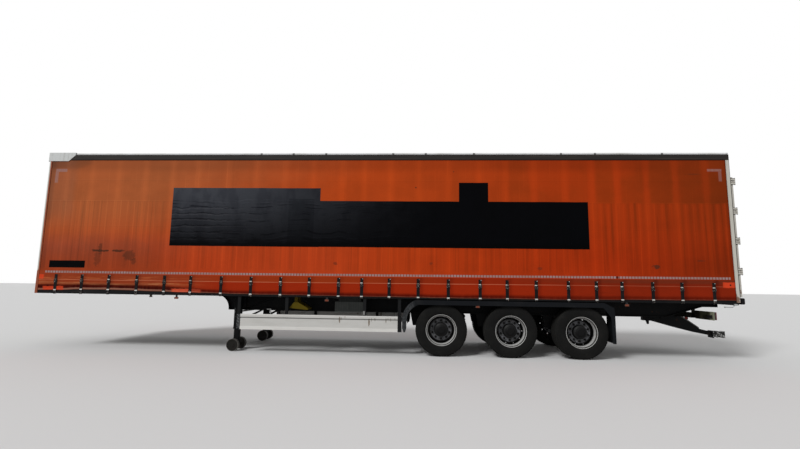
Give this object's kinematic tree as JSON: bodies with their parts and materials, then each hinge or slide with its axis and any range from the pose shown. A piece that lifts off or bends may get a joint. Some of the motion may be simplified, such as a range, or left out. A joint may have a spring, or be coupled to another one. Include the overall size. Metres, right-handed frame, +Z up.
{
  "type": "curtain-sided semi trailer",
  "caption": "Long curtain-sided semi trailer with a kingpin, landing legs, air-sprung axles, side guards, hinged rear doors and a rear towing frame.",
  "frame": {"origin": "on the ground under the middle of the trailer's outline", "axes": "+X along the trailer from the kingpin end to the doors, +Y to the trailer's right-hand side, +Z up"},
  "size_m": [14.21, 2.572, 4],
  "materials": {
    "chassis_paint": "satin black chassis paint with road dirt",
    "white_paint": "aged white paint",
    "black_rail": "dark anodised aluminium, dusty",
    "curtain_fabric": "coated polyester curtain, faded orange",
    "roof_fabric": "white coated roof skin",
    "webbing": "woven black webbing with steel buckles",
    "galvanised": "galvanised steel",
    "aluminium": "weathered aluminium",
    "plywood": "phenolic faced plywood floor",
    "slat_wood": "mill finish aluminium",
    "tyre": "worn black tyre rubber",
    "rim": "silver painted wheel with dark hub",
    "rubber": "black rubber",
    "black_plastic": "black moulded plastic",
    "grey_box": "grey painted steel",
    "yellow_plastic": "yellow moulded plastic",
    "amber_lens": "amber lens",
    "red_lens": "red lens",
    "kingpin_steel": "greased bare steel"
  },
  "bodies": {
    "trailer": {"main_rails": "chassis_paint", "cross_members": "chassis_paint", "floor": "plywood", "side_raves": "chassis_paint", "front_wall": "white_paint", "cant_rails": "black_rail", "roof_skin": "roof_fabric", "roof_bows": "aluminium", "roof_front_cap": "white_paint", "rear_posts": "white_paint", "rear_header": "white_paint", "rear_sill": "chassis_paint", "dock_buffers": "rubber", "curtain_left": "curtain_fabric", "curtain_right": "curtain_fabric", "curtain_straps": "webbing", "curtain_tensioners": "galvanised", "side_frames": "slat_wood", "kingpin_plate": "kingpin_steel", "landing_legs": "chassis_paint", "landing_gear_shaft": "galvanised", "side_guards": "aluminium", "guard_hangers": "chassis_paint", "mudguards": "black_plastic", "axles": "chassis_paint", "hanger_brackets": "chassis_paint", "air_springs": "rubber", "air_tanks": "chassis_paint", "storage_box": "grey_box", "wheel_chocks": "yellow_plastic", "side_marker_lamps": "amber_lens", "underrun_beam": "galvanised", "rear_lamps": "red_lens", "towing_frame": "chassis_paint", "drawbar_coupling": "galvanised"},
    "wheel_front_left": {"tyre_front_left": "tyre", "rim_front_left": "rim"},
    "wheel_front_right": {"tyre_front_right": "tyre", "rim_front_right": "rim"},
    "wheel_middle_left": {"tyre_middle_left": "tyre", "rim_middle_left": "rim"},
    "wheel_middle_right": {"tyre_middle_right": "tyre", "rim_middle_right": "rim"},
    "wheel_rear_left": {"tyre_rear_left": "tyre", "rim_rear_left": "rim"},
    "wheel_rear_right": {"tyre_rear_right": "tyre", "rim_rear_right": "rim"},
    "rollers_left": {"landing_rollers_left": "galvanised"},
    "rollers_right": {"landing_rollers_right": "galvanised"},
    "rear_door_left": {"door_left": "white_paint", "lock_gear_left": "galvanised"},
    "rear_door_right": {"door_right": "white_paint", "lock_gear_right": "galvanised"}
  },
  "joints": [
    {"name": "wheel_front_left_spin", "type": "hinge", "parent": "trailer", "child": "wheel_front_left", "pos_m": [1.135, -1.02, 0.498], "axis": [0, 1, 0], "continuous": true},
    {"name": "wheel_front_right_spin", "type": "hinge", "parent": "trailer", "child": "wheel_front_right", "pos_m": [1.135, 1.02, 0.498], "axis": [0, 1, 0], "continuous": true},
    {"name": "wheel_middle_left_spin", "type": "hinge", "parent": "trailer", "child": "wheel_middle_left", "pos_m": [2.465, -1.02, 0.498], "axis": [0, 1, 0], "continuous": true},
    {"name": "wheel_middle_right_spin", "type": "hinge", "parent": "trailer", "child": "wheel_middle_right", "pos_m": [2.465, 1.02, 0.498], "axis": [0, 1, 0], "continuous": true},
    {"name": "wheel_rear_left_spin", "type": "hinge", "parent": "trailer", "child": "wheel_rear_left", "pos_m": [3.795, -1.02, 0.498], "axis": [0, 1, 0], "continuous": true},
    {"name": "wheel_rear_right_spin", "type": "hinge", "parent": "trailer", "child": "wheel_rear_right", "pos_m": [3.795, 1.02, 0.498], "axis": [0, 1, 0], "continuous": true},
    {"name": "rollers_left_spin", "type": "hinge", "parent": "trailer", "child": "rollers_left", "pos_m": [-3.005, -0.85, 0.12], "axis": [0, 1, 0], "continuous": true},
    {"name": "rollers_right_spin", "type": "hinge", "parent": "trailer", "child": "rollers_right", "pos_m": [-3.005, 0.85, 0.12], "axis": [0, 1, 0], "continuous": true},
    {"name": "rear_door_left_hinge", "type": "hinge", "parent": "trailer", "child": "rear_door_left", "pos_m": [6.753, -1.275, 1.4], "axis": [0, 0, -1], "range_deg": [0, 270]},
    {"name": "rear_door_right_hinge", "type": "hinge", "parent": "trailer", "child": "rear_door_right", "pos_m": [6.753, 1.275, 1.4], "axis": [0, 0, 1], "range_deg": [0, 270]}
  ]
}
